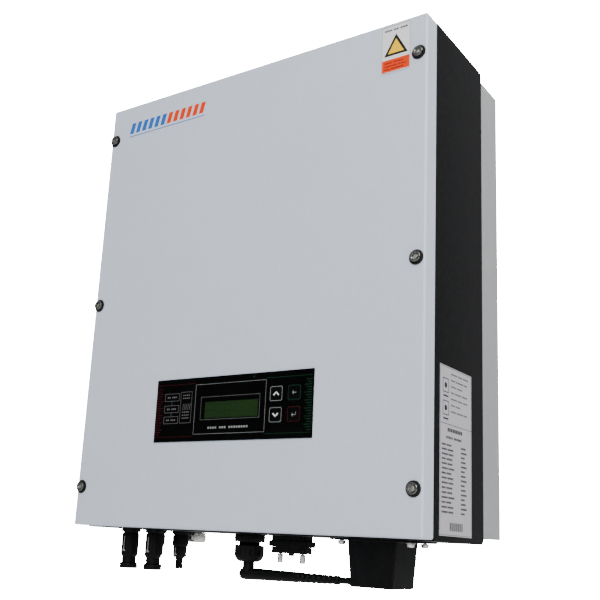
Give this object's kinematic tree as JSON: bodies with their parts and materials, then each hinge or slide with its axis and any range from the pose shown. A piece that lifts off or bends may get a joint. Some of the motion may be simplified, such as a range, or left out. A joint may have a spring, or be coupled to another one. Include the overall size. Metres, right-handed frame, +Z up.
{
  "type": "string inverter",
  "caption": "Wall-hung string inverter: grey cover with display and keys, black cabinet, rear heatsink, solar connectors, gland and terminal box below.",
  "frame": {"origin": "centre of the wall bracket's rear face, on the wall", "axes": "+X towards the viewer's right, +Y into the wall, +Z up; the cover faces -Y"},
  "size_m": [0.4056, 0.1992, 0.5243],
  "materials": {
    "cover_paint": "light cool grey powder coat, fine texture, satin",
    "chassis_paint": "black powder coat, fine texture, matt",
    "heatsink_metal": "bare extruded aluminium, satin",
    "zinc_steel": "zinc plated, satin",
    "seal_rubber": "matt",
    "panel_film": "printed polyester film, satin",
    "lcd_green": "reflective green display behind a clear window",
    "key_film": "satin",
    "label_paper": "printed label film",
    "black_nylon": "moulded, satin",
    "contact_metal": "tin plated copper",
    "lead_jacket": "smooth black jacket",
    "wire_red": "smooth jacket",
    "wire_blue": "smooth jacket",
    "circuit_green": "solder mask",
    "capacitor_sleeve": "heat shrink sleeve",
    "copper_winding": "enamelled copper winding",
    "core_grey": "potted core",
    "module_plastic": "moulded",
    "ribbon_grey": "flat cable"
  },
  "bodies": {
    "bracket": {"wall_bracket": "zinc_steel"},
    "cabinet": {"boost_inductor": "copper_winding", "breather_vent": "zinc_steel", "capacitor_1": "capacitor_sleeve", "capacitor_2": "capacitor_sleeve", "capacitor_3": "capacitor_sleeve", "chassis": "chassis_paint", "control_board": "circuit_green", "cover_gasket": "seal_rubber", "dc_pin_1": "contact_metal", "dc_pin_2": "contact_metal", "dc_plug_1": "black_nylon", "dc_plug_2": "black_nylon", "dc_socket_1": "black_nylon", "dc_socket_2": "black_nylon", "dc_wire_1": "wire_red", "dc_wire_2": "wire_blue", "dc_wire_3": "wire_red", "dc_wire_4": "wire_blue", "filter_inductor": "core_grey", "gland_body": "black_nylon", "gland_nut": "black_nylon", "grid_relay": "module_plastic", "hanger_rail": "zinc_steel", "heatsink": "heatsink_metal", "outlet_grommet": "seal_rubber", "output_lead": "lead_jacket", "power_board": "circuit_green", "power_module": "module_plastic", "rating_label": "label_paper", "serial_connector": "zinc_steel", "serial_port": "black_nylon", "strain_relief": "lead_jacket", "terminal_block": "module_plastic", "terminal_box": "black_nylon", "terminal_box_screw_1": "zinc_steel", "terminal_box_screw_2": "zinc_steel", "terminal_box_screw_3": "zinc_steel", "terminal_box_screw_4": "zinc_steel"},
    "cover": {"front_cover": "cover_paint", "keypad_overlay": "panel_film", "lcd_screen": "lcd_green", "lcd_module": "module_plastic", "display_board": "circuit_green", "ribbon_cable": "ribbon_grey", "warning_label": "label_paper", "cover_screw_1": "zinc_steel", "cover_screw_2": "zinc_steel", "cover_screw_3": "zinc_steel", "cover_screw_4": "zinc_steel", "cover_screw_5": "zinc_steel", "cover_screw_6": "zinc_steel"},
    "up_key": {"key_up": "key_film"},
    "down_key": {"key_down": "key_film"},
    "escape_key": {"key_escape": "key_film"},
    "enter_key": {"key_enter": "key_film"},
    "port_cap": {"serial_cap": "black_nylon", "serial_screw_1": "zinc_steel", "serial_screw_2": "zinc_steel"}
  },
  "joints": [
    {"name": "hang_lift", "type": "slide", "parent": "bracket", "child": "cabinet", "axis": [0, 0, 1], "range_m": [0, 0.018]},
    {"name": "cover_off", "type": "slide", "parent": "cabinet", "child": "cover", "axis": [0, -1, 0], "range_m": [0, 0.15]},
    {"name": "port_cap_off", "type": "slide", "parent": "cabinet", "child": "port_cap", "axis": [0, 0, -1], "range_m": [0, 0.0065]},
    {"name": "up_key_press", "type": "slide", "parent": "cover", "child": "up_key", "axis": [0, 1, 0], "range_m": [0, 0.0005], "stiffness_N_per_m": 2000},
    {"name": "down_key_press", "type": "slide", "parent": "cover", "child": "down_key", "axis": [0, 1, 0], "range_m": [0, 0.0005], "stiffness_N_per_m": 2000},
    {"name": "escape_key_press", "type": "slide", "parent": "cover", "child": "escape_key", "axis": [0, 1, 0], "range_m": [0, 0.0005], "stiffness_N_per_m": 2000},
    {"name": "enter_key_press", "type": "slide", "parent": "cover", "child": "enter_key", "axis": [0, 1, 0], "range_m": [0, 0.0005], "stiffness_N_per_m": 2000}
  ]
}
